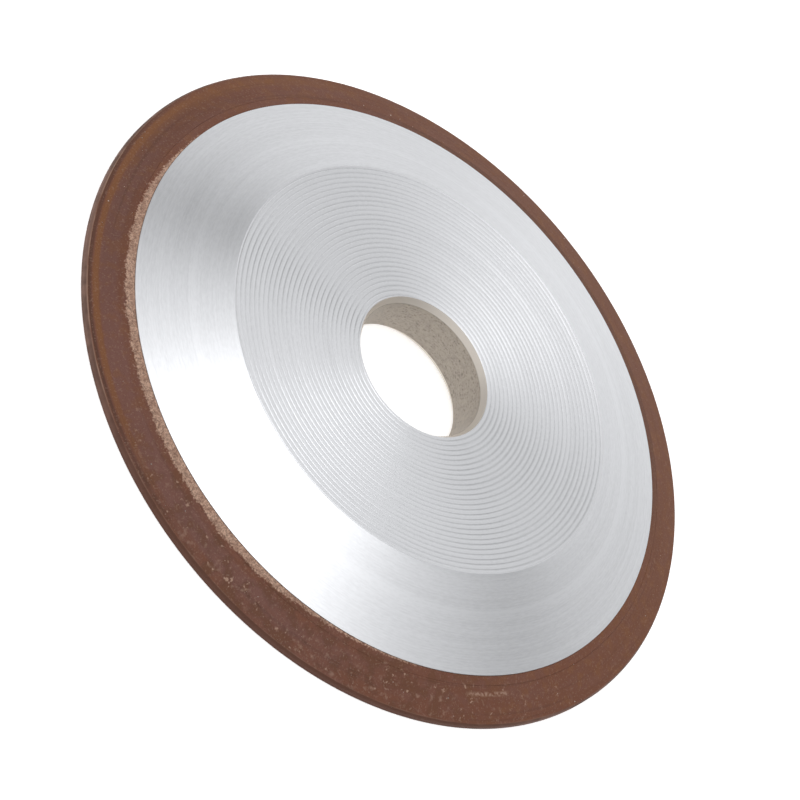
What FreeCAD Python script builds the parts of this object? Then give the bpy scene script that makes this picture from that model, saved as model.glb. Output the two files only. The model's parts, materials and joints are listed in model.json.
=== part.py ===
import FreeCAD, Part
import math
import os
import Sketcher

# A single-bevel resin-bond diamond grinding wheel, in millimetres.
#
# Frame: the wheel's axis is +Z. The origin is the centre of the bore at the flat back face, and
# the bevelled, grooved front faces +Z. Every piece is a ring around the axis, so each one is the
# half outline (radius, height) of its section, turned about the axis:
#
#   aluminium_core   the turned disc: bore, flat hub with a spiral facing groove, and the cone
#   backing_layer    the ring of plain bond, pressed into two key grooves round the core
#   diamond_rim      the ring of diamond-bearing bond that does the grinding

DIMENSIONS = {
    "wheel_diameter": 125.0,
    "wheel_thickness": 10.0,
    "rim_edge_height": 1.3,        # height of the rim's cylindrical edge, below the bevel
    "rim_edge_break": 0.3,         # worn corner between the bevel and that edge
    "bore_diameter": 25.4,
    "bore_chamfer_radial": 0.75,
    "bore_chamfer_axial": 1.15,
    "hub_diameter": 78.0,
    "rim_width": 7.85,             # bond outside the core, backing layer and diamond together
    "backing_width": 1.6,
    "key_groove_depth": 0.8,
    "key_groove_height": 0.7,
    "key_groove_first": 0.8,       # height of the lower key groove above the back face
    "key_groove_pitch": 1.4,
    "facing_pitch": 0.92,          # feed of the facing cut that leaves the spiral groove
    "facing_start_radius": 14.2,
    "facing_depth": 0.1,
    "facing_half_width": 0.3,
}
KEY_GROOVES = 2
FACING_TURNS = 26

SHEET = "Dimensions."
WHEEL_RADIUS = SHEET + "wheel_diameter / 2"
THICKNESS = SHEET + "wheel_thickness"
BORE_RADIUS = SHEET + "bore_diameter / 2"
HUB_RADIUS = SHEET + "hub_diameter / 2"
CORE_RADIUS = WHEEL_RADIUS + " - " + SHEET + "rim_width"
BACKING_RADIUS = CORE_RADIUS + " + " + SHEET + "backing_width"
AXIS_HEIGHT = "0"


def new_document():
    """A document with one spreadsheet, a row for each driving dimension."""
    document = FreeCAD.newDocument("diamond_grinding_wheel")
    sheet = document.addObject("Spreadsheet::Sheet", "Dimensions")
    for row, (alias, value) in enumerate(DIMENSIONS.items(), start=1):
        sheet.set(f"A{row}", alias.replace("_", " "))
        sheet.set(f"B{row}", str(value))
        sheet.setAlias(f"B{row}", alias)
    document.recompute()
    return document


def bevel_height(radius):
    """Height of the bevel at a radius, on the straight line from the hub's edge to the rim's."""
    drop = f"({THICKNESS} - {SHEET}rim_edge_height)"
    return f"{THICKNESS} - {drop} * ({radius} - ({HUB_RADIUS})) / ({WHEEL_RADIUS} - {HUB_RADIUS})"


def origin_feature(body, role):
    """One of the body's own origin planes or axes."""
    for feature in body.Origin.OriginFeatures:
        if feature.Role == role:
            return feature
    raise ValueError(f"{body.Label} has no {role}")


def section_sketch(body, name):
    """A sketch on the body's XZ plane, where x is the radius and y is the height."""
    sketch = body.newObject("Sketcher::SketchObject", name)
    sketch.AttachmentSupport = [(origin_feature(body, "XZ_Plane"), "")]
    sketch.MapMode = "FlatFace"
    return sketch


def bind_coordinate(sketch, kind, line, expression, value):
    """Hold the start point of a line at a distance from the sketch's origin."""
    if expression == AXIS_HEIGHT:
        sketch.addConstraint(Sketcher.Constraint("PointOnObject", line, 1, -1))
        return
    index = sketch.addConstraint(Sketcher.Constraint(kind, line, 1, value))
    sketch.setExpression(f"Constraints[{index}]", expression)


def add_outline(sketch, corners):
    """A closed outline through corners, each a pair of expressions for radius and height."""
    first = sketch.GeometryCount
    values = []
    for radius, height in corners:
        values.append((float(sketch.evalExpression(radius)), float(sketch.evalExpression(height))))
    points = [FreeCAD.Vector(radius, height, 0) for radius, height in values]
    count = len(points)
    for i in range(count):
        sketch.addGeometry(Part.LineSegment(points[i], points[(i + 1) % count]), False)
    for i in range(count):
        following = first + (i + 1) % count
        sketch.addConstraint(Sketcher.Constraint("Coincident", first + i, 2, following, 1))
    for i, (radius, height) in enumerate(corners):
        bind_coordinate(sketch, "DistanceX", first + i, radius, values[i][0])
        bind_coordinate(sketch, "DistanceY", first + i, height, values[i][1])


def turned_feature(body, kind, name, sketch, axis="V_Axis", angle=360, clockwise=False):
    """Turn a section sketch about the wheel's axis, or about a construction line of the sketch."""
    feature = body.newObject(kind, name)
    feature.Profile = sketch
    feature.ReferenceAxis = (sketch, [axis])
    feature.Angle = angle
    feature.Reversed = clockwise
    return feature


def new_body(document, label):
    body = document.addObject("PartDesign::Body", label)
    body.Label = label
    body.Placement = FreeCAD.Placement()
    return body


def key_groove_outlines():
    """The rectangles that the key grooves cut into the core, and that the backing fills."""
    inner = f"{CORE_RADIUS} - {SHEET}key_groove_depth"
    outlines = []
    for i in range(KEY_GROOVES):
        bottom = f"{SHEET}key_groove_first + {i} * {SHEET}key_groove_pitch"
        top = f"{bottom} + {SHEET}key_groove_height"
        outlines.append([(inner, bottom), (CORE_RADIUS, bottom), (CORE_RADIUS, top), (inner, top)])
    return outlines


def facing_half_turns(body, name, axis_offset, first_radius, clockwise):
    """Every half turn of the facing groove on one side of the wheel, as arcs about one axis.

    The two sides' axes lie half a pitch apart, so the arcs join end to end in a flat spiral whose
    radius grows counter-clockwise, seen from the front.
    """
    section = section_sketch(body, name + "Section")
    offset = float(section.evalExpression(axis_offset))
    top = float(section.evalExpression(THICKNESS))
    ends = [FreeCAD.Vector(offset, 0, 0), FreeCAD.Vector(offset, top, 0)]
    section.addGeometry(Part.LineSegment(*ends), True)
    section.addConstraint(Sketcher.Constraint("Vertical", 0))
    bind_coordinate(section, "DistanceX", 0, axis_offset, offset)
    # The vee is a little taller than the groove is deep, so that the cut breaks the surface.
    bottom = f"{THICKNESS} - {SHEET}facing_depth"
    above = f"{THICKNESS} + {SHEET}facing_depth"
    for turn in range(FACING_TURNS):
        radius = f"{first_radius} + {turn} * {SHEET}facing_pitch"
        inner = f"{radius} - 2 * {SHEET}facing_half_width"
        outer = f"{radius} + 2 * {SHEET}facing_half_width"
        add_outline(section, [(radius, bottom), (outer, above), (inner, above)])
    turned_feature(body, "PartDesign::Groove", name, section, "Axis0", 180, clockwise)


def aluminium_core(document):
    """The disc: a chamfered bore, a flat hub with its spiral facing groove, and a cone."""
    body = new_body(document, "aluminium_core")
    chamfered_radius = f"{BORE_RADIUS} + {SHEET}bore_chamfer_radial"
    section = section_sketch(body, "CoreSection")
    add_outline(section, [
        (chamfered_radius, AXIS_HEIGHT),
        (CORE_RADIUS, AXIS_HEIGHT),
        (CORE_RADIUS, bevel_height(f"({CORE_RADIUS})")),
        (HUB_RADIUS, THICKNESS),
        (chamfered_radius, THICKNESS),
        (BORE_RADIUS, f"{THICKNESS} - {SHEET}bore_chamfer_axial"),
        (BORE_RADIUS, f"{SHEET}bore_chamfer_axial"),
    ])
    turned_feature(body, "PartDesign::Revolution", "CoreTurned", section)
    document.recompute()
    keys = section_sketch(body, "KeyGrooveSection")
    for outline in key_groove_outlines():
        add_outline(keys, outline)
    turned_feature(body, "PartDesign::Groove", "KeyGrooves", keys)
    document.recompute()
    uncut_volume = body.Shape.Volume
    start = f"{SHEET}facing_start_radius"
    pitch = f"{SHEET}facing_pitch"
    facing_half_turns(body, "FacingFrontHalf", "0", start, False)
    document.recompute()
    facing_half_turns(body, "FacingRearHalf", f"{pitch} / 2", f"{start} + {pitch}", True)
    document.recompute()
    check_facing(uncut_volume - body.Shape.Volume)
    return body


def check_facing(removed):
    """Stop unless the facing groove took away the volume of a vee of its own length."""
    mean_radius = DIMENSIONS["facing_start_radius"] + DIMENSIONS["facing_pitch"] * FACING_TURNS / 2
    path_length = 2 * math.pi * mean_radius * FACING_TURNS
    expected = path_length * DIMENSIONS["facing_depth"] * DIMENSIONS["facing_half_width"]
    if abs(removed - expected) > 0.02 * expected:
        raise RuntimeError(f"the facing groove removed {removed:.1f} mm3, not {expected:.1f}")


def backing_layer(document):
    """The ring of bond without diamond, with ribs that fill the core's key grooves."""
    body = new_body(document, "backing_layer")
    section = section_sketch(body, "BackingSection")
    add_outline(section, [
        (CORE_RADIUS, AXIS_HEIGHT),
        (BACKING_RADIUS, AXIS_HEIGHT),
        (BACKING_RADIUS, bevel_height(f"({BACKING_RADIUS})")),
        (CORE_RADIUS, bevel_height(f"({CORE_RADIUS})")),
    ])
    turned_feature(body, "PartDesign::Revolution", "BackingRing", section)
    document.recompute()
    ribs = section_sketch(body, "KeyRibSection")
    for outline in key_groove_outlines():
        add_outline(ribs, outline)
    turned_feature(body, "PartDesign::Revolution", "KeyRibs", ribs)
    return body


def diamond_rim(document):
    """The ring of diamond-bearing bond, tapered by the bevel to a thin outer edge."""
    body = new_body(document, "diamond_rim")
    broken_radius = f"{WHEEL_RADIUS} - {SHEET}rim_edge_break"
    section = section_sketch(body, "RimSection")
    add_outline(section, [
        (BACKING_RADIUS, AXIS_HEIGHT),
        (WHEEL_RADIUS, AXIS_HEIGHT),
        (WHEEL_RADIUS, f"{SHEET}rim_edge_height - {SHEET}rim_edge_break"),
        (broken_radius, bevel_height(f"({broken_radius})")),
        (BACKING_RADIUS, bevel_height(f"({BACKING_RADIUS})")),
    ])
    turned_feature(body, "PartDesign::Revolution", "RimRing", section)
    return body


def check_document(document, pieces):
    """Stop if an object failed, or if a piece is not one valid solid."""
    for item in document.Objects:
        if "Invalid" in item.State or "Error" in item.State:
            raise RuntimeError(f"{item.Label} failed: {item.State}")
    for piece in pieces:
        if piece.Shape.isNull() or not piece.Shape.isValid():
            raise RuntimeError(f"{piece.Label} has no valid shape")
        if len(piece.Shape.Solids) != 1:
            raise RuntimeError(f"{piece.Label} is not one solid")


def main():
    document = new_document()
    pieces = [aluminium_core(document), backing_layer(document), diamond_rim(document)]
    document.recompute()
    check_document(document, pieces)
    os.makedirs("parts", exist_ok=True)
    for piece in pieces:
        piece.Shape.exportStep(f"parts/{piece.Label}.step")
        print(f"{piece.Label}: {piece.Shape.Volume:.0f} mm3, {len(piece.Shape.Faces)} faces")


main()
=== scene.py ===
import json
import math

import bpy
from bpy.props import FloatProperty, FloatVectorProperty, IntProperty, PointerProperty
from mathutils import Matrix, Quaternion, Vector


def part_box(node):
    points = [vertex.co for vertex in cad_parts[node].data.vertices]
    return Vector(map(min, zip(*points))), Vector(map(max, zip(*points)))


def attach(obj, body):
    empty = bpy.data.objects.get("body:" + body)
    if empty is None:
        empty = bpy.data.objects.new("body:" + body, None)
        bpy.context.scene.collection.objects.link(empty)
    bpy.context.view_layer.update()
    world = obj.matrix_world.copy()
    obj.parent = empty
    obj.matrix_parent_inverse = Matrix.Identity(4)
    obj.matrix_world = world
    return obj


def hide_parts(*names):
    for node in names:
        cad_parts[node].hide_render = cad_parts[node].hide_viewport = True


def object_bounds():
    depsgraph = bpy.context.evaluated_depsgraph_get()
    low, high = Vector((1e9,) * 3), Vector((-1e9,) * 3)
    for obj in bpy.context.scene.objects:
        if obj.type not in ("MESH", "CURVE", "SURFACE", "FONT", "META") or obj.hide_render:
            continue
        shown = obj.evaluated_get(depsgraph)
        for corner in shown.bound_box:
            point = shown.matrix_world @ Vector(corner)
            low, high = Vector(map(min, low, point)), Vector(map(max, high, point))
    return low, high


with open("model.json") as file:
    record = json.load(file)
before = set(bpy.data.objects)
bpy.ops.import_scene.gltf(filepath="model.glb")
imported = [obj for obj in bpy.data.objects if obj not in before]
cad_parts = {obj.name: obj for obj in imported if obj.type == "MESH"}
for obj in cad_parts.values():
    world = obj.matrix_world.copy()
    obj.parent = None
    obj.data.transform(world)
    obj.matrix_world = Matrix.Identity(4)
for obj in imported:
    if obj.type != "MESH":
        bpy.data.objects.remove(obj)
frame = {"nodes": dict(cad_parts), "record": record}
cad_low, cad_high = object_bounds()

bl_info = {
    "name": "Diamond grinding wheel",
    "version": (1, 0, 0),
    "blender": (4, 5, 0),
    "location": "3D View > Sidebar > Wheel",
    "description": "Builds the turned core, the bond and the grit of a bevelled grinding wheel",
    "category": "Object",
}

# The wheel lies on the floor with its axis along Z and its bevelled front facing up. The core,
# the backing layer and the abrasive rim are each one outline, a list of (radius, height) points,
# turned about the axis by the same node tree. All lengths are in metres.

MM = 0.001
TOLERANCE = 0.01 * MM
BODY = "root"
GUTTER = 0.14 * MM         # worn gap in the bond, all along the edge of the core
SEAM_MERGE = 0.002 * MM    # points nearer than this are one, where a turned ring closes
FLOOR_GAP = 0.05 * MM      # between the floor and the wheel's flat back
GRIT_SEED = 7

# Edges turned by more than these angles, in degrees, stay sharp.
SHARP_CORE = 15
SHARP_BACKING = 32
SHARP_RIM = 40


# ---------------------------------------------------------------------------------------------
# Sizes worked out from the frame
# ---------------------------------------------------------------------------------------------

def node_points(node):
    """The radius and height of each of a CAD node's points."""
    vertices = frame["nodes"][node].data.vertices
    return [(math.hypot(vertex.co.x, vertex.co.y), vertex.co.z) for vertex in vertices]


def ring_radii(node, height):
    """The smallest and largest radius of a CAD node's points at one height."""
    radii = [radius for radius, level in node_points(node) if abs(level - height) < TOLERANCE]
    return min(radii), max(radii)


def wall_heights(node, wall):
    """The lowest and highest point of a CAD node's cylindrical wall of one radius."""
    heights = [level for radius, level in node_points(node) if abs(radius - wall) < TOLERANCE]
    return min(heights), max(heights)


def next_ring_inside(node, outer):
    """The largest radius of a CAD node's points that is smaller than an outer radius."""
    return max(radius for radius, _ in node_points(node) if radius < outer - TOLERANCE)


THICKNESS = cad_high.z
WHEEL_RADIUS = cad_high.x
MOUTH_RADIUS, HUB_RADIUS = ring_radii("aluminium_core", THICKNESS)
BORE_RADIUS = frame["record"]["mounts"][0]["dims"]["r_mm"] * MM
BORE_BOTTOM, BORE_TOP = wall_heights("aluminium_core", BORE_RADIUS)
CORE_RADIUS, BACKING_RADIUS = ring_radii("backing_layer", 0.0)
EDGE_HEIGHT = wall_heights("diamond_rim", WHEEL_RADIUS)[1]
BROKEN_RADIUS = next_ring_inside("diamond_rim", WHEEL_RADIUS)
BEVEL_DROP = (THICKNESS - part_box("backing_layer")[1].z) / (CORE_RADIUS - HUB_RADIUS)


def bevel_height(radius):
    """Height of the bevel, which runs straight from the hub's edge to the rim's."""
    return THICKNESS - BEVEL_DROP * (radius - HUB_RADIUS)


# ---------------------------------------------------------------------------------------------
# Settings
# ---------------------------------------------------------------------------------------------

class WheelMetalSettings(bpy.types.PropertyGroup):
    facing_pitch: FloatProperty(
        name="Facing pitch", description="Feed of the facing cut for one turn",
        default=0.92 * MM, unit="LENGTH", precision=5)
    facing_phase: FloatProperty(
        name="Facing phase", description="Where in a pitch the groove starts, on the X axis",
        default=0.44, min=0, max=1, subtype="FACTOR")
    groove_depth: FloatProperty(
        name="Groove depth", description="Depth of the spiral facing groove",
        default=0.064 * MM, unit="LENGTH", precision=5)
    groove_inner: FloatProperty(
        name="Inner wall", description="Width of the groove's steep inner wall, in pitches",
        default=0.12, min=0.05, max=0.5, subtype="FACTOR")
    groove_outer: FloatProperty(
        name="Outer ramp", description="Width of the groove's long outer ramp, in pitches",
        default=0.40, min=0.05, max=0.5, subtype="FACTOR")
    columns: IntProperty(
        name="Columns", description="Straight steps in one turn of the core", default=400)
    colour: FloatVectorProperty(
        name="Aluminium", description="Reflection colour of the turned aluminium",
        default=(0.80, 0.81, 0.835), subtype="COLOR", min=0, max=1)
    bore_colour: FloatVectorProperty(
        name="Bore", description="Reflection colour of the duller bore wall",
        default=(0.45, 0.40, 0.345), subtype="COLOR", min=0, max=1)
    chamfer_colour: FloatVectorProperty(
        name="Bore chamfer", description="Reflection colour of the chamfers at the bore's mouths",
        default=(0.76, 0.705, 0.64), subtype="COLOR", min=0, max=1)


class WheelBondSettings(bpy.types.PropertyGroup):
    columns: IntProperty(
        name="Columns", description="Straight steps in one turn of the bond", default=1300)
    unevenness: FloatProperty(
        name="Unevenness", description="How far the moulded surface dips",
        default=0.05 * MM, unit="LENGTH", precision=5)
    colour: FloatVectorProperty(
        name="Bond", description="Colour of the resin bond",
        default=(0.160, 0.060, 0.034), subtype="COLOR", min=0, max=1)
    orange_colour: FloatVectorProperty(
        name="Orange bond", description="Colour of the bond where its skin is worn away",
        default=(0.195, 0.077, 0.031), subtype="COLOR", min=0, max=1)
    # Plum tone of the bond, and also the colour of the painted sheen, a plum reflection on one
    # side of the bevel.
    plum_and_sheen_colour: FloatVectorProperty(
        name="Plum bond", description="Colour of the bond where its skin is darkest",
        default=(0.165, 0.073, 0.056), subtype="COLOR", min=0, max=1)
    dark_colour: FloatVectorProperty(
        # Dark bond in dirty patches, and also the colour of the painted shade line along the outer
        # edge.
        name="Dark bond", description="Colour of the bond in dirty patches",
        default=(0.072, 0.030, 0.019), subtype="COLOR", min=0, max=1)
    edge_colour: FloatVectorProperty(
        name="Edge", description="Colour of the dusty outer edge",
        default=(0.190, 0.108, 0.083), subtype="COLOR", min=0, max=1)
    # Sandy tone of chips, specks and scuffs, and also the colour of the painted light on the
    # backing layer's lit side.
    sand_colour: FloatVectorProperty(
        name="Sandy backing", description="Colour of the exposed backing layer",
        default=(0.380, 0.245, 0.180), subtype="COLOR", min=0, max=1)
    grit_colour: FloatVectorProperty(
        name="Grit", description="Colour of the grains that stand out of the bond",
        default=(0.62, 0.50, 0.42), subtype="COLOR", min=0, max=1)
    grit_size: FloatProperty(
        name="Grit size", description="Largest radius of a grain",
        default=0.15 * MM, unit="LENGTH", precision=5)
    grit_density: FloatProperty(
        name="Grit density", description="Grains on a square metre of bevel",
        default=70000)


class WheelStageSettings(bpy.types.PropertyGroup):
    camera_distance: FloatProperty(
        name="Camera distance", description="From the lens to the middle of the hub face",
        default=0.6411, unit="LENGTH")
    camera_elevation: FloatProperty(
        name="Camera elevation", description="Angle of the camera above the floor",
        default=math.radians(41.86), subtype="ANGLE")
    camera_roll: FloatProperty(
        name="Camera roll", description="Turn of the camera about its own axis",
        default=math.radians(52.9), subtype="ANGLE")
    camera_aim: FloatVectorProperty(
        name="Camera aim", description="Point of the hub face in the middle of the view",
        default=(2.0 * MM, -10.07 * MM), size=2, unit="LENGTH", precision=5)
    camera_lens: FloatProperty(
        name="Camera lens", description="Focal length on a 36 mm sensor, in millimetres",
        default=169.4)
    floor_size: FloatProperty(
        name="Floor size", description="Side of the square floor", default=6.0, unit="LENGTH")
    floor_colour: FloatVectorProperty(
        name="Floor", description="Colour of the plain floor",
        default=(0.92, 0.92, 0.92), subtype="COLOR", min=0, max=1)
    floor_glow: FloatProperty(
        name="Floor glow", description="Light that comes through the floor, as on a light table",
        default=0.5, min=0)
    room_light: FloatProperty(
        name="Room light", description="Even brightness of the room between its glows",
        default=0.25, min=0)
    softbox_power: FloatProperty(
        name="Softbox power", description="Power of the overhead softbox, in watts", default=0.06)


# ---------------------------------------------------------------------------------------------
# Node trees written as expressions
# ---------------------------------------------------------------------------------------------

class Value:
    """An output socket that can be used in Python arithmetic; each operation adds a Math node."""

    def __init__(self, nodes, socket):
        self.nodes = nodes
        self.socket = socket

    def math(self, operation, *others):
        """The value of a Math node's operation on this value and others."""
        operands = dict(enumerate((self, *others)))
        return self.nodes.add("ShaderNodeMath", {"operation": operation}, operands)

    def __add__(self, other):
        return self.math("ADD", other)

    def __sub__(self, other):
        return self.math("SUBTRACT", other)

    def __mul__(self, other):
        return self.math("MULTIPLY", other)

    def __truediv__(self, other):
        return self.math("DIVIDE", other)

    def __pow__(self, other):
        return self.math("POWER", other)

    def __rsub__(self, other):
        return self.nodes.add("ShaderNodeMath", {"operation": "SUBTRACT"}, {0: other, 1: self})

    __radd__ = __add__
    __rmul__ = __mul__


class Nodes:
    """Adds nodes to one tree and wires their sockets."""

    def __init__(self, tree):
        self.tree = tree

    def add(self, kind, settings=None, inputs=None, output=0):
        """A node of a kind: its settings are set first, then its sockets get values or links."""
        node = self.tree.nodes.new(kind)
        for name, setting in (settings or {}).items():
            setattr(node, name, setting)
        for name, given in (inputs or {}).items():
            self.feed(node.inputs[name], given)
        return Value(self, node.outputs[output]) if len(node.outputs) else node

    def feed(self, socket, given):
        """Link a value to a socket, or set the socket to a plain number or colour."""
        if isinstance(given, Value):
            self.tree.links.new(given.socket, socket)
        else:
            socket.default_value = given

    def split(self, vector):
        """The three components of a vector."""
        first = self.add("ShaderNodeSeparateXYZ", inputs={0: vector})
        return [Value(self, socket) for socket in first.socket.node.outputs]

    def join(self, x, y, z):
        """A vector from its three components."""
        return self.add("ShaderNodeCombineXYZ", inputs={0: x, 1: y, 2: z})

    def smooth_step(self, value, low, high):
        """Nothing below low, one above high, and a smooth rise between them."""
        spans = {"Value": value, "From Min": low, "From Max": high}
        return self.add("ShaderNodeMapRange", {"interpolation_type": "SMOOTHSTEP"}, spans)

    def noise(self, vector, scale=1.0, detail=2.0, roughness=0.5):
        """Smooth noise from 0 to 1, about 0.5 on average."""
        sizes = {"Vector": vector, "Scale": scale, "Detail": detail, "Roughness": roughness}
        return self.add("ShaderNodeTexNoise", inputs=sizes)

    def blend(self, share, first, second):
        """A colour that goes from first to second as share goes from 0 to 1."""
        inputs = {"Factor": share}
        for index, colour in ((6, first), (7, second)):
            inputs[index] = colour if isinstance(colour, Value) else (*colour, 1.0)
        settings = {"data_type": "RGBA", "blend_type": "MIX", "clamp_factor": True}
        return self.add("ShaderNodeMix", settings, inputs, output=2)


# ---------------------------------------------------------------------------------------------
# Materials
# ---------------------------------------------------------------------------------------------

class Turned:
    """Coordinates of a piece turned about Z, in millimetres, for a material."""

    def __init__(self, nodes):
        self.nodes = nodes
        self.point = nodes.add("ShaderNodeTexCoord", output="Object")
        x, y, z = nodes.split(self.point)
        radius = (x * x + y * y).math("SQRT")
        self.radius = radius * 1000
        self.height = z * 1000
        self.east = x / radius
        self.north = y / radius

    def sector(self, angle, half_width, softness):
        """One inside a sector about an angle, nothing outside it, all in degrees."""
        east, north = math.cos(math.radians(angle)), math.sin(math.radians(angle))
        along = self.east * east + self.north * north
        outside = math.cos(math.radians(half_width + softness))
        inside = math.cos(math.radians(half_width - softness))
        return self.nodes.smooth_step(along, outside, inside)

    def band(self, low, high, softness):
        """One between two radii, in millimetres."""
        rise = self.nodes.smooth_step(self.radius, low - softness, low + softness)
        fall = self.nodes.smooth_step(self.radius, high - softness, high + softness)
        return rise * (1 - fall)

    def rings(self, per_mm, around, detail=2.0):
        """Noise that changes quickly along the radius and slowly round the axis."""
        vector = self.nodes.join(self.radius * per_mm, self.east * around, self.north * around)
        return self.nodes.noise(vector, 1.0, detail)

    def grain(self, size_mm, detail=2.0):
        """Even noise with features of about one size."""
        return self.nodes.noise(self.point, 1000 / size_mm, detail)


def tinted(colour, share):
    """A colour made darker or lighter by a share."""
    return tuple(share * channel for channel in colour)


def new_material(name):
    """An empty material: its nodes, and its Principled BSDF already wired to the output."""
    material = bpy.data.materials.new(name)
    material.use_nodes = True
    material.node_tree.nodes.clear()
    nodes = Nodes(material.node_tree)
    shader = nodes.add("ShaderNodeBsdfPrincipled")
    nodes.add("ShaderNodeOutputMaterial", inputs={"Surface": shader})
    return material, nodes, shader.socket.node


def finish_material(nodes, shader, **sockets):
    """Give the shader's sockets, named in small letters, their values or links."""
    for name, given in sockets.items():
        label = name.replace("_", " ").title().replace("Ior", "IOR")
        nodes.feed(shader.inputs[label], given)


def bump(nodes, height, distance):
    """A normal that follows a height, which is one at the given distance above the surface."""
    return nodes.add("ShaderNodeBump", inputs={
        "Strength": 1.0, "Distance": distance, "Height": height})


def turned_aluminium(settings):
    """Bright metal with fine turning lines, glossy along them and blurred across them."""
    material, nodes, shader = new_material("turned_aluminium")
    turned = Turned(nodes)
    hub = HUB_RADIUS / MM
    lines = turned.rings(3.0, 1.2) - 0.5
    streaks = turned.rings(4.0, 40.0) - 0.5
    broad_lines = turned.rings(0.6, 0.5) - 0.5
    bright_band = turned.band(hub + 5.7, hub + 7.2, 0.3)
    on_cone = nodes.smooth_step(turned.radius, hub - 0.4, hub + 0.2)
    shade = 0.95 + 0.16 * lines + 0.18 * streaks + 0.07 * broad_lines + 0.03 * bright_band

    # Darker along the facing groove's bottom: a duller groove, and painted shade in the groove.
    turn = turned.north.math("ARCTAN2", turned.east) / math.tau
    from_groove = turned.radius / (settings.facing_pitch / MM) - turn - settings.facing_phase
    groove_dullness_and_shade = (0.5 + 0.5 * (from_groove * math.tau).math("COSINE")) ** 2.5
    shade -= 0.13 * (groove_dullness_and_shade - 0.40) * (1 - on_cone)
    colour = nodes.blend(shade, (0.0, 0.0, 0.0), tuple(settings.colour))
    roughness = 0.24 + 0.11 * on_cone + 0.06 * broad_lines + 0.04 * lines
    relief = (lines * 0.5 + streaks * 0.5) * (0.5 + 0.5 * on_cone)    # shallower on the hub
    finish_material(
        nodes, shader, base_color=colour, metallic=1.0, roughness=roughness,
        anisotropic=0.8, anisotropic_rotation=0.25, normal=bump(nodes, relief, 0.014 * MM))
    return material


def bore_aluminium(settings):
    """Duller metal, rough and pitted, with a warm tone and smoother chamfers."""
    material, nodes, shader = new_material("bore_aluminium")
    turned = Turned(nodes)
    wall, bore = tuple(settings.bore_colour), BORE_RADIUS / MM
    blotches = turned.grain(1.2, 3.0)
    stretched = nodes.join(turned.east * 16, turned.north * 16, turned.height * 3.2)
    streaks = nodes.noise(stretched, 1.0, 3.0)
    grain = turned.grain(0.32, 3.0) * 0.5 + streaks * 0.5
    pits = nodes.smooth_step(grain, 0.34, 0.46)
    tone = nodes.smooth_step(blotches * 0.3 + grain * 0.7, 0.38, 0.62)
    colour = nodes.blend(tone, tinted(wall, 0.78), wall)
    colour = nodes.blend(pits, tinted(wall, 0.5), colour)
    on_chamfer = nodes.smooth_step(turned.radius, bore, bore + 0.08)
    colour = nodes.blend(on_chamfer, colour, tuple(settings.chamfer_colour))
    finish_material(
        nodes, shader, base_color=colour, metallic=0.7,
        roughness=0.45 + 0.2 * blotches - 0.12 * on_chamfer,
        normal=bump(nodes, grain * (1 - on_chamfer), 0.03 * MM))
    return material


# Parts of the bond with a look of their own. A sector is (middle, half width, softness) in degrees
# from +X, for Turned.sector. The numbers of a band are millimetres from the core or the wheel.
# Sectors of the sandy band: painted light on the lit side of the backing layer.
LIT_SANDY_WIDEST = (243, 43, 13)
LIT_SANDY_WIDE = (250, 65, 10)
LIT_SANDY_RAGGED = (247, 54, 12)
LIT_SANDY_LIMITS = (248, 66, 6)
# Painted sheen: a plum reflection on one side of the bevel.
PAINTED_PLUM_SHEEN = (245, 48, 22)
ORANGE_RING = (218, 26, 22)
ORANGE_PATCH = (170, 20, 20)
ORANGE_REAR = (60, 60, 40)
# Painted shade: a dark line along the outer edge, on one side of the wheel.
PAINTED_EDGE_SHADE = (225, 36, 14)
# Darker along the seam with the core, on one side of the wheel.
DARKER_SEAM_SIDE = (85, 45, 20)
DIRTY_MIDDLE = (198, 22, 16)
DIRTY_CLOUDS = (290, 30, 20)
WORN_FRONT = (298, 40, 18)
SCRAPE = (330, 4.2, 1.5)
CLEAN_EDGE = (292, 45, 18)
RUBBED_EDGE = (222, 26, 14)


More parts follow.
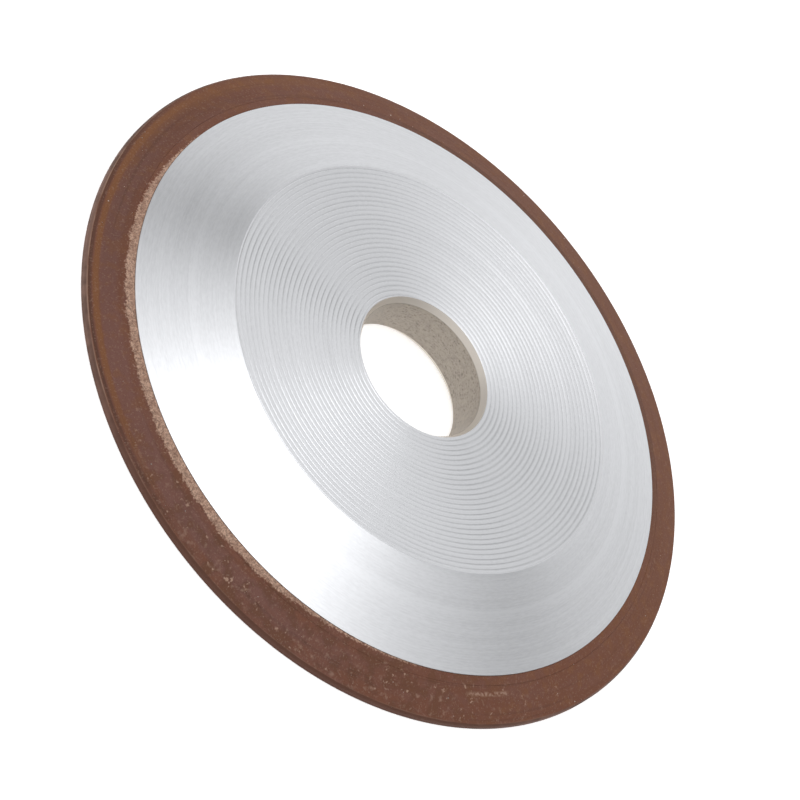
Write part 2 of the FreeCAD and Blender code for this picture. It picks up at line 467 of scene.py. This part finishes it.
class BondTexture(Turned):
    """Patterns that the layers of the bond's colour share."""

    def __init__(self, nodes, settings):
        super().__init__(nodes)
        self.plain = tuple(settings.colour)
        self.sand = tuple(settings.sand_colour)
        self.dark = tuple(settings.dark_colour)
        self.plum = tuple(settings.plum_and_sheen_colour)
        self.orange = tuple(settings.orange_colour)
        self.dust = tuple(settings.edge_colour)
        self.core = CORE_RADIUS / MM
        self.wheel = WHEEL_RADIUS / MM
        self.mottle = self.grain(0.9, 3.0)
        self.blotches = self.grain(2.4, 4.0)
        self.specks = self.grain(0.36, 3.0)
        self.fine = self.grain(0.17)

    def skin(self):
        """Reddish, plum or orange in soft bands and clouds, with dirty patches, darker along the
        seam with the core on one side, a painted plum sheen and a painted shade line at the outer
        edge.
        """
        nodes, core, wheel = self.nodes, self.core, self.wheel
        clouds = self.rings(0.45, 5.0, 4.0)
        lines = self.rings(1.6, 1.2)
        plum_and_sheen_share = nodes.smooth_step(clouds, 0.42, 0.62) * 0.35
        plum_and_sheen_share += nodes.smooth_step(self.mottle, 0.45, 0.65) * 0.25
        # Painted sheen: a plum reflection on one side of the bevel, over the plum clouds.
        plum_and_sheen_share += self.sector(*PAINTED_PLUM_SHEEN) * self.band(core + 2.8, wheel - 2.1, 0.5) * 0.8
        colour = nodes.blend(plum_and_sheen_share, self.plain, self.plum)
        orange_share = nodes.smooth_step(self.blotches, 0.48, 0.66) * 0.45
        orange_share += self.sector(*ORANGE_RING) * self.band(wheel - 2.1, wheel - 1.2, 0.25)
        orange_share += (
            self.sector(*ORANGE_PATCH) * self.band(wheel - 3.0, wheel - 0.9, 0.6) * 0.6)
        orange_share += self.sector(*ORANGE_REAR) * 0.25
        colour = nodes.blend(orange_share, colour, self.orange)
        # Painted shade: a dark line along the outer edge on one side; then dirt in lines and
        # clouds, and a darker seam.
        dirt_and_shade_share = self.sector(*PAINTED_EDGE_SHADE) * self.band(wheel - 1.0, wheel - 0.45, 0.15) * 0.6
        # Darker along the seam with the core, on one side of the wheel.
        dirt_and_shade_share += self.sector(*DARKER_SEAM_SIDE) * self.band(core - 1.0, core + 1.6, 0.5) * 0.40
        dirt_and_shade_share += self.sector(*DIRTY_MIDDLE) * self.band(core + 1.8, wheel - 2.3, 0.5) * 0.22
        dirt_and_shade_share += nodes.smooth_step(lines, 0.55, 0.70) * 0.25
        dirt_and_shade_share += (
            self.sector(*DIRTY_CLOUDS) * nodes.smooth_step(self.blotches, 0.42, 0.60) * 0.40)
        colour = nodes.blend(dirt_and_shade_share, colour, self.dark)
        colour = nodes.blend(
            nodes.smooth_step(self.specks, 0.54, 0.70) * 0.22, colour, self.sand)
        return nodes.blend(nodes.smooth_step(self.fine, 0.56, 0.72) * 0.40, colour, self.dark)

    def lit_sandy_band(self, colour):
        """The backing layer, which shows as a ragged sandy band, widest on one side of the wheel:
        its rough sandy tone, with painted light where the light falls on it.
        """
        nodes = self.nodes
        width = 1.25 * self.sector(*LIT_SANDY_WIDEST) + 0.35 * self.sector(*LIT_SANDY_WIDE) - 0.05
        ragged = (self.rings(0.5, 24.0, 4.0) - 0.5) * 1.2
        width += ragged * self.sector(*LIT_SANDY_RAGGED) + (self.specks - 0.5) * 1.1
        # Painted light: the band is pale only on the side of the wheel where the light falls.
        sandy = nodes.smooth_step(self.core + width - self.radius, -0.22, 0.22)
        sandy = sandy * self.sector(*LIT_SANDY_LIMITS)
        tone = nodes.smooth_step(self.specks * 0.5 + self.fine * 0.5, 0.38, 0.60)
        sand_tone = nodes.blend(tone, tinted(self.sand, 0.62), tinted(self.sand, 1.50))
        cover = 0.60 + 0.34 * nodes.smooth_step(self.mottle, 0.40, 0.58)
        return nodes.blend(sandy * cover, colour, sand_tone)

    def chips(self):
        """One in the pale chips, most of them along the front."""
        nodes = self.nodes
        chips = nodes.smooth_step(self.grain(0.85, 5.0), 0.61, 0.70)
        chips = chips * (0.2 + 0.8 * self.sector(*WORN_FRONT))
        chips = chips * nodes.smooth_step(self.blotches, 0.44, 0.56)
        return chips * self.band(self.core + 1.6, self.wheel - 0.6, 0.5)

    def scuffs(self):
        """One in the pale scuffs along the front, and in the one long scrape."""
        nodes, core, wheel = self.nodes, self.core, self.wheel
        scuffs = nodes.smooth_step(self.grain(1.3, 6.0), 0.57, 0.74)
        scuffs = scuffs * self.sector(*WORN_FRONT) * 0.6
        scuffs = scuffs * self.band(core + 3.6, wheel - 0.5, 0.8)
        scrape = self.sector(*SCRAPE) * self.band(core + 2.6, core + 3.2, 0.25)
        return scuffs + scrape * nodes.smooth_step(self.grain(0.6, 3.0), 0.36, 0.60)

    def edge(self, colour):
        """The dusty cylindrical edge, with a rubbed line where it meets the bevel."""
        nodes, wheel = self.nodes, self.wheel
        dusty = nodes.smooth_step(self.grain(3.5, 3.0), 0.40, 0.62)
        tone = nodes.blend(dusty, self.dust, tinted(self.dust, 0.6))
        tone = nodes.blend(self.sector(*CLEAN_EDGE) * 0.9, tone, tinted(self.plain, 0.55))
        on_edge = nodes.smooth_step(self.radius, wheel - 0.34, wheel - 0.24)
        colour = nodes.blend(on_edge * 0.9, colour, tone)
        rubbed = nodes.smooth_step(self.rings(0.5, 9.0, 4.0), 0.36, 0.60)
        rubbed = rubbed * self.band(wheel - 0.40, wheel - 0.26, 0.05)
        rubbed = rubbed * nodes.smooth_step(self.height, 1.0, 1.2)
        rubbed = rubbed * (0.15 + 0.6 * self.sector(*RUBBED_EDGE))
        return nodes.blend(rubbed, colour, tinted(self.sand, 0.9))


def bond_material(settings):
    """Brown resin bond: clouded, speckled, sandy along the backing layer with painted light on its
    lit side, with a painted sheen and a painted shade line on one side, and worn at its edge.
    """
    material, nodes, shader = new_material("resin_bond")
    bond = BondTexture(nodes, settings)
    chips = bond.chips()
    colour = bond.lit_sandy_band(bond.skin())
    colour = nodes.blend(chips * 0.7, colour, tinted(bond.sand, 1.2))
    colour = nodes.blend(bond.scuffs() * 0.7, colour, bond.sand)
    relief = bond.specks * 0.6 + bond.fine * 0.3 + chips * 0.3
    finish_material(
        nodes, shader, base_color=bond.edge(colour), roughness=0.62 + 0.2 * bond.specks,
        specular_ior_level=0.28, normal=bump(nodes, relief, 0.035 * MM))
    return material


def grit_material(settings):
    """Grains from brown to nearly white, slightly glassy."""
    material, nodes, shader = new_material("diamond_grit")
    pale = tuple(settings.grit_colour)
    tone = nodes.smooth_step(Turned(nodes).grain(1.3, 1.0), 0.40, 0.66)
    colour = nodes.blend(tone, tinted(pale, 0.4), pale)
    finish_material(nodes, shader, base_color=colour, roughness=0.40)
    return material


def floor_material(settings):
    """Plain, matte and pale."""
    material, nodes, shader = new_material("pale_floor")
    finish_material(
        nodes, shader, base_color=(*settings.floor_colour, 1.0), roughness=0.9,
        emission_color=(1.0, 1.0, 1.0, 1.0), emission_strength=settings.floor_glow)
    return material


# ---------------------------------------------------------------------------------------------
# Geometry node trees
# ---------------------------------------------------------------------------------------------

DIPS_PER_METRE = 700.0
UPWARDS = 0.5    # smallest upward part of the normal where grains are scattered

SOCKET_TYPES = {
    "FLOAT": "NodeSocketFloat",
    "INT": "NodeSocketInt",
    "GEOMETRY": "NodeSocketGeometry",
    "MATERIAL": "NodeSocketMaterial",
}


class GeometryTree(Nodes):
    """A geometry node group with named inputs, and a geometry in and out."""

    def __init__(self, name, inputs):
        super().__init__(bpy.data.node_groups.new(name, "GeometryNodeTree"))
        interface = self.tree.interface
        interface.new_socket(
            name="Geometry", in_out="OUTPUT", socket_type=SOCKET_TYPES["GEOMETRY"])
        for label, kind in {"Geometry": "GEOMETRY", **inputs}.items():
            interface.new_socket(name=label, in_out="INPUT", socket_type=SOCKET_TYPES[kind])
        self.entry = self.tree.nodes.new("NodeGroupInput")

    def given(self, label):
        """The value of one of the group's inputs."""
        return Value(self, self.entry.outputs[label])

    def end(self, geometry, material):
        """Finish the tree with Realize Instances and Set Material."""
        real = self.add("GeometryNodeRealizeInstances", inputs={"Geometry": geometry})
        coated = self.add(
            "GeometryNodeSetMaterial", inputs={"Geometry": real, "Material": material})
        self.add("NodeGroupOutput", inputs={"Geometry": coated})
        return self.tree


def spun_outline_tree():
    """Turn the object's outline, a closed string of points in the XZ plane, into a solid ring.

    A grid of rows and columns takes row r from point r of the outline and column c from its angle.
    Points marked as faced slide outwards by one pitch in a turn, between two radii, so their rows
    wind into a spiral and meet the seam one groove further out.
    """
    tree = GeometryTree("spun_outline", {
        "Columns": "INT", "Pitch": "FLOAT", "Phase": "FLOAT", "Groove Depth": "FLOAT",
        "Inner Wall": "FLOAT", "Outer Ramp": "FLOAT", "Inner Radius": "FLOAT",
        "Outer Radius": "FLOAT", "Unevenness": "FLOAT", "Material": "MATERIAL"})
    outline = tree.given("Geometry")
    counts = tree.add("GeometryNodeAttributeDomainSize", inputs={"Geometry": outline})
    per_row = tree.given("Columns") + 1
    grid = tree.add("GeometryNodeMeshGrid", inputs={
        "Size X": 1.0, "Size Y": 1.0, "Vertices X": counts + 1, "Vertices Y": per_row})
    index = tree.add("GeometryNodeInputIndex")
    row = ((index + 0.5) / per_row).math("FLOOR")
    turn = (index - row * per_row) / tree.given("Columns")
    source = row.math("MODULO", counts)

    place = tree.add("GeometryNodeSampleIndex", {"data_type": "FLOAT_VECTOR"}, {
        "Geometry": outline, "Value": tree.add("GeometryNodeInputPosition"), "Index": source})
    start_radius, _, height = tree.split(place)
    mark = tree.add("GeometryNodeInputNamedAttribute", {"data_type": "FLOAT"}, {"Name": "faced"})
    faced = tree.add("GeometryNodeSampleIndex", {"data_type": "FLOAT"}, {
        "Geometry": outline, "Value": mark, "Index": source})

    pitch = tree.given("Pitch")
    slid = (start_radius + turn * pitch).math("MAXIMUM", tree.given("Inner Radius"))
    slid = slid.math("MINIMUM", tree.given("Outer Radius"))
    radius = start_radius + (slid - start_radius) * faced
    from_groove = (radius / pitch - turn - tree.given("Phase") + 0.5).math("FRACT") - 0.5
    inner_wall = 1 + from_groove / tree.given("Inner Wall")
    outer_ramp = 1 - from_groove / tree.given("Outer Ramp")
    groove = inner_wall.math("MINIMUM", outer_ramp).math("MAXIMUM", 0.0)
    depth = groove * tree.given("Groove Depth") * faced
    angle = turn * math.tau
    placed = tree.join(
        radius * angle.math("COSINE"), radius * angle.math("SINE"), height - depth)
    spun = tree.add("GeometryNodeSetPosition", inputs={"Geometry": grid, "Position": placed})
    whole = tree.add("GeometryNodeMergeByDistance", inputs={
        "Geometry": spun, "Distance": SEAM_MERGE})
    solid = tree.add("GeometryNodeFlipFaces", inputs={"Mesh": whole})

    surface = tree.add("GeometryNodeInputPosition")
    dips = tree.noise(surface, DIPS_PER_METRE, 4.0, 0.6) - 1.0
    normal = tree.add("GeometryNodeInputNormal")
    sunk = tree.add("ShaderNodeVectorMath", {"operation": "SCALE"}, {
        "Vector": normal, "Scale": dips * tree.given("Unevenness")})
    uneven = tree.add("GeometryNodeSetPosition", inputs={"Geometry": solid, "Offset": sunk})
    return tree.end(uneven, tree.given("Material"))


def scattered_grit_tree():
    """Scatter small angular grains over the upper side of the object, inside a radius."""
    tree = GeometryTree("scattered_grit", {
        "Density": "FLOAT", "Size": "FLOAT", "Outer Radius": "FLOAT", "Seed": "INT",
        "Material": "MATERIAL"})
    x, y, _ = tree.split(tree.add("GeometryNodeInputPosition"))
    _, _, up = tree.split(tree.add("GeometryNodeInputNormal"))
    radius = (x * x + y * y).math("SQRT")
    inside = radius.math("LESS_THAN", tree.given("Outer Radius"))
    points = tree.add("GeometryNodeDistributePointsOnFaces", inputs={
        "Mesh": tree.given("Geometry"), "Selection": inside * up.math("GREATER_THAN", UPWARDS),
        "Density": tree.given("Density"), "Seed": tree.given("Seed")})
    grain = tree.add("GeometryNodeMeshIcoSphere", inputs={"Radius": 1.0, "Subdivisions": 1})
    chance = tree.add("FunctionNodeRandomValue", {"data_type": "FLOAT"}, {
        "Min": 0.0, "Max": 1.0, "Seed": tree.given("Seed")}, output=1)
    turn = tree.add("FunctionNodeRandomValue", {"data_type": "FLOAT_VECTOR"}, {
        "Max": (math.tau, math.tau, math.tau), "Seed": tree.given("Seed")}, output=0)
    scale = tree.given("Size") * (0.25 + 0.75 * chance ** 6)
    grains = tree.add("GeometryNodeInstanceOnPoints", inputs={
        "Points": points, "Instance": grain, "Rotation": turn, "Scale": scale})
    return tree.end(grains, tree.given("Material"))


def apply_tree(piece, tree, inputs):
    """Run a geometry node tree on a mesh object and keep the result as its plain mesh."""
    modifier = piece.modifiers.new(tree.name, "NODES")
    modifier.node_group = tree
    for item in tree.interface.items_tree:
        if item.in_out == "INPUT" and item.name in inputs:
            modifier[item.identifier] = inputs[item.name]
    depsgraph = bpy.context.evaluated_depsgraph_get()
    mesh = bpy.data.meshes.new_from_object(piece.evaluated_get(depsgraph), depsgraph=depsgraph)
    piece.modifiers.remove(modifier)
    old = piece.data
    piece.data = mesh
    bpy.data.meshes.remove(old)
    mesh.name = piece.name
    mesh.materials.clear()
    mesh.materials.append(inputs["Material"])
    for polygon in mesh.polygons:
        polygon.material_index = 0
    return piece


# ---------------------------------------------------------------------------------------------
# Outlines
# ---------------------------------------------------------------------------------------------

def subdivided(start, end, count):
    """Points from start towards end, start included and end left out."""
    points = []
    for i in range(count):
        share = i / count
        points.append(tuple(a + (b - a) * share for a, b in zip(start, end)))
    return points


def outline_object(name, points, faced=()):
    """A mesh of bare points in the XZ plane, with the faced ones marked."""
    mesh = bpy.data.meshes.new(name)
    mesh.from_pydata([(radius, 0.0, height) for radius, height in points], [], [])
    marks = mesh.attributes.new("faced", "FLOAT", "POINT")
    for i in faced:
        marks.data[i].value = 1.0
    piece = bpy.data.objects.new(name, mesh)
    bpy.context.scene.collection.objects.link(piece)
    return piece


def facing_radii(settings):
    """Radii of the faced rows, outermost first: rows that hold the groove's edges and bottom."""
    inner, outer = settings.groove_inner, settings.groove_outer
    steps = (-1.6 * inner, -inner, 0.0, 0.2 * outer, outer, 1.15 * outer)
    last_turn = math.ceil(HUB_RADIUS / settings.facing_pitch)
    first_turn = math.floor(MOUTH_RADIUS / settings.facing_pitch) - 2
    radii = []
    for turn in range(first_turn, last_turn + 1):
        for step in steps:
            radii.append((turn + settings.facing_phase + step) * settings.facing_pitch)
    inner_limit = MOUTH_RADIUS - settings.facing_pitch
    kept = [radius for radius in radii if inner_limit < radius < HUB_RADIUS]
    return [HUB_RADIUS, *sorted(kept, reverse=True), inner_limit]


def finish_piece(piece, sharp_angle, node):
    """Smooth a piece except at its edges, parent it to the body and hide its CAD node in its
    place.
    """
    for polygon in piece.data.polygons:
        polygon.use_smooth = True
    piece.data.set_sharp_from_angle(angle=math.radians(sharp_angle))
    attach(piece, BODY)
    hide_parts(node)


# ---------------------------------------------------------------------------------------------
# Operators
# ---------------------------------------------------------------------------------------------

class WHEEL_OT_turned_core(bpy.types.Operator):
    """Turn the aluminium core, with its spiral facing groove, cone and chamfered bore"""
    bl_idname = "wheel.turned_core"
    bl_label = "Turned core"

    def execute(self, context):
        settings = context.scene.wheel_metal
        rim_top = (CORE_RADIUS, bevel_height(CORE_RADIUS))
        back_mouth = (MOUTH_RADIUS, 0.0)
        points = subdivided(back_mouth, (CORE_RADIUS, 0.0), 6)
        points += subdivided((CORE_RADIUS, 0.0), rim_top, 2)
        points += subdivided(rim_top, (HUB_RADIUS, THICKNESS), 8)
        first_faced = len(points)
        points += [(radius, THICKNESS) for radius in facing_radii(settings)]
        faced = range(first_faced, len(points))
        points += subdivided((BORE_RADIUS, BORE_TOP), (BORE_RADIUS, BORE_BOTTOM), 6)
        points.append((BORE_RADIUS, BORE_BOTTOM))
        core = outline_object("turned_core", points, faced)
        apply_tree(core, spun_outline_tree(), {
            "Columns": settings.columns,
            "Pitch": settings.facing_pitch,
            "Phase": settings.facing_phase,
            "Groove Depth": settings.groove_depth,
            "Inner Wall": settings.groove_inner,
            "Outer Ramp": settings.groove_outer,
            "Inner Radius": MOUTH_RADIUS,
            "Outer Radius": HUB_RADIUS,
            "Unevenness": 0.0,
            "Material": turned_aluminium(settings),
        })
        core.data.materials.append(bore_aluminium(settings))
        for polygon in core.data.polygons:
            if math.hypot(*polygon.center[:2]) < MOUTH_RADIUS - TOLERANCE:
                polygon.material_index = 1
        finish_piece(core, SHARP_CORE, "aluminium_core")
        return {"FINISHED"}


def turned_bond(name, points, settings, material):
    """A ring of bond turned from its outline, with the moulded surface's slight dips."""
    ring = outline_object(name, points)
    return apply_tree(ring, bpy.data.node_groups["spun_outline"], {
        "Columns": settings.columns,
        "Pitch": 1.0,
        "Phase": 0.0,
        "Groove Depth": 0.0,
        "Inner Wall": 1.0,
        "Outer Ramp": 1.0,
        "Inner Radius": 0.0,
        "Outer Radius": WHEEL_RADIUS,
        "Unevenness": settings.unevenness,
        "Material": material,
    })


class WHEEL_OT_bond(bpy.types.Operator):
    """Mould the backing layer and the diamond rim round the core"""
    bl_idname = "wheel.bond"
    bl_label = "Backing layer and rim"

    def execute(self, context):
        settings = context.scene.wheel_bond
        material = bond_material(settings)
        seam_top = (BACKING_RADIUS, bevel_height(BACKING_RADIUS))
        points = subdivided((CORE_RADIUS, 0.0), (BACKING_RADIUS, 0.0), 4)
        points += subdivided((BACKING_RADIUS, 0.0), seam_top, 2)
        gutter_edge = (CORE_RADIUS + GUTTER, bevel_height(CORE_RADIUS + GUTTER))
        gutter_bottom = (CORE_RADIUS, bevel_height(CORE_RADIUS) - GUTTER)
        points += subdivided(seam_top, gutter_edge, 8)
        points += subdivided(gutter_edge, gutter_bottom, 2)
        points += subdivided(gutter_bottom, (CORE_RADIUS, 0.0), 2)
        backing = turned_bond("backing_ring", points, settings, material)
        finish_piece(backing, SHARP_BACKING, "backing_layer")

        broken = (BROKEN_RADIUS, bevel_height(BROKEN_RADIUS))
        points = subdivided((BACKING_RADIUS, 0.0), (WHEEL_RADIUS, 0.0), 12)
        points += subdivided((WHEEL_RADIUS, 0.0), (WHEEL_RADIUS, EDGE_HEIGHT), 4)
        points += subdivided((WHEEL_RADIUS, EDGE_HEIGHT), broken, 2)
        points += subdivided(broken, seam_top, 26)
        points += subdivided(seam_top, (BACKING_RADIUS, 0.0), 2)
        rim = turned_bond("abrasive_rim", points, settings, material)
        finish_piece(rim, SHARP_RIM, "diamond_rim")
        return {"FINISHED"}


class WHEEL_OT_grit(bpy.types.Operator):
    """Scatter the grains that stand out of the abrasive rim"""
    bl_idname = "wheel.grit"
    bl_label = "Grit"

    def execute(self, context):
        settings = context.scene.wheel_bond
        rim = bpy.data.objects["abrasive_rim"]
        grit = bpy.data.objects.new("rim_grit", rim.data.copy())
        context.scene.collection.objects.link(grit)
        apply_tree(grit, scattered_grit_tree(), {
            "Density": settings.grit_density,
            "Size": settings.grit_size,
            "Outer Radius": BROKEN_RADIUS,
            "Seed": GRIT_SEED,
            "Material": grit_material(settings),
        })
        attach(grit, BODY)
        return {"FINISHED"}


# Soft glows of the room: elevation, azimuth from +X, half width, all in degrees, and brightness.
# Those lower than MIRRORED_BELOW are repeated on the other side of the XZ plane.
MIRRORED_BELOW = 60
ROOM_GLOWS = (
    (90, 90, 29.7, 1.30),
    (68, 90, 29.7, 0.69),
    (68, 165, 32.4, 0.67),
    (68, 15, 32.4, 0.22),
    (68, 270, 35.1, 0.26),
    (48, 130, 29.7, 0.07),
    (45, 180, 37.8, 0.06),
    (45, 0, 37.8, 0.39),
    (27, 90, 27.0, 0.54),
    (27, 55, 29.7, 0.25),
    (25, 170, 37.8, 0.18),
    (7, 90, 27.0, 0.28),
    (7, 130, 32.4, 0.84),
    (7, 50, 32.4, 0.34),
)

SOFTBOX_SIZE = 0.34
SOFTBOX_DISTANCE = 0.6
SOFTBOX_DIRECTION = (-0.12, 0.14, 0.98)
SENSOR_WIDTH = 36.0    # millimetres
NEAREST_SEEN = 0.01
FARTHEST_SEEN = 20.0


class WHEEL_OT_stage(bpy.types.Operator):
    """Lay the pale floor, hang the softbox and set the camera"""
    bl_idname = "wheel.stage"
    bl_label = "Stage"

    def execute(self, context):
        scene = context.scene
        settings = scene.wheel_stage
        scene.view_settings.view_transform = "Standard"
        half = settings.floor_size / 2
        mesh = bpy.data.meshes.new("floor")
        corners = [(-half, -half, 0.0), (half, -half, 0.0), (half, half, 0.0), (-half, half, 0.0)]
        mesh.from_pydata(corners, [], [(0, 1, 2, 3)])
        mesh.materials.append(floor_material(settings))
        floor = bpy.data.objects.new("floor", mesh)
        floor.location.z = -FLOOR_GAP
        scene.collection.objects.link(floor)
        self.light_room(scene, settings)
        self.place_camera(scene, settings)
        return {"FINISHED"}

    def light_room(self, scene, settings):
        """Light the wheel from a pale room with soft glows, and from a softbox overhead."""
        world = bpy.data.worlds.new("studio")
        scene.world = world
        world.use_nodes = True
        world.node_tree.nodes.clear()
        nodes = Nodes(world.node_tree)
        direction = nodes.add("ShaderNodeTexCoord", output="Generated")
        east, north, up = nodes.split(direction)
        either_side = north.math("ABSOLUTE")
        amount = settings.room_light
        for elevation, azimuth, width, strength in ROOM_GLOWS:
            level = math.cos(math.radians(elevation))
            middle = (level * math.cos(math.radians(azimuth)),
                      level * math.sin(math.radians(azimuth)), math.sin(math.radians(elevation)))
            ahead = either_side if elevation < MIRRORED_BELOW else north
            towards = east * middle[0] + ahead * middle[1] + up * middle[2]
            edge = math.cos(math.radians(width))
            amount = nodes.smooth_step(towards, edge, 1.0) * strength + amount
        glow = nodes.add("ShaderNodeBackground", inputs={
            "Color": (1.0, 1.0, 1.0, 1.0), "Strength": amount})
        nodes.add("ShaderNodeOutputWorld", inputs={"Surface": glow})

        lamp = bpy.data.lights.new("softbox", "AREA")
        lamp.shape = "DISK"
        lamp.size = SOFTBOX_SIZE
        lamp.energy = settings.softbox_power
        softbox = bpy.data.objects.new("softbox", lamp)
        outward = Vector(SOFTBOX_DIRECTION).normalized()
        softbox.location = outward * SOFTBOX_DISTANCE
        softbox.rotation_euler = outward.to_track_quat("Z", "Y").to_euler()
        scene.collection.objects.link(softbox)

    def place_camera(self, scene, settings):
        """Aim the camera at the hub face, turned about its own axis."""
        camera = bpy.data.objects.new("camera", bpy.data.cameras.new("camera"))
        camera.data.sensor_width = SENSOR_WIDTH
        camera.data.lens = settings.camera_lens
        camera.data.clip_start = NEAREST_SEEN
        camera.data.clip_end = FARTHEST_SEEN
        hub_middle = Vector((0.0, 0.0, THICKNESS))
        elevation = settings.camera_elevation
        outward = Vector((0.0, -math.cos(elevation), math.sin(elevation)))
        camera.location = hub_middle + outward * settings.camera_distance
        aim = Vector((*settings.camera_aim, THICKNESS))
        upright = (aim - camera.location).to_track_quat("-Z", "Y")
        camera.rotation_mode = "QUATERNION"
        camera.rotation_quaternion = upright @ Quaternion((0, 0, 1), settings.camera_roll)
        scene.collection.objects.link(camera)
        scene.camera = camera


class WHEEL_PT_build(bpy.types.Panel):
    """Lists the wheel's pieces in the order they are made"""
    bl_idname = "WHEEL_PT_build"
    bl_label = "Grinding wheel"
    bl_space_type = "VIEW_3D"
    bl_region_type = "UI"
    bl_category = "Wheel"

    def draw(self, context):
        for operator in OPERATORS:
            self.layout.operator(operator.bl_idname)


SETTINGS = {
    "wheel_metal": WheelMetalSettings,
    "wheel_bond": WheelBondSettings,
    "wheel_stage": WheelStageSettings,
}
OPERATORS = (WHEEL_OT_turned_core, WHEEL_OT_bond, WHEEL_OT_grit, WHEEL_OT_stage)


def register():
    for group in SETTINGS.values():
        bpy.utils.register_class(group)
    for name, group in SETTINGS.items():
        setattr(bpy.types.Scene, name, PointerProperty(type=group))
    for operator in OPERATORS:
        bpy.utils.register_class(operator)
    bpy.utils.register_class(WHEEL_PT_build)


def unregister():
    bpy.utils.unregister_class(WHEEL_PT_build)
    for operator in reversed(OPERATORS):
        bpy.utils.unregister_class(operator)
    for name, group in reversed(SETTINGS.items()):
        delattr(bpy.types.Scene, name)
        bpy.utils.unregister_class(group)


def main():
    """Build the whole wheel and its stage."""
    register()
    bpy.ops.wheel.turned_core()
    bpy.ops.wheel.bond()
    bpy.ops.wheel.grit()
    bpy.ops.wheel.stage()


if __name__ == "__main__":
    main()
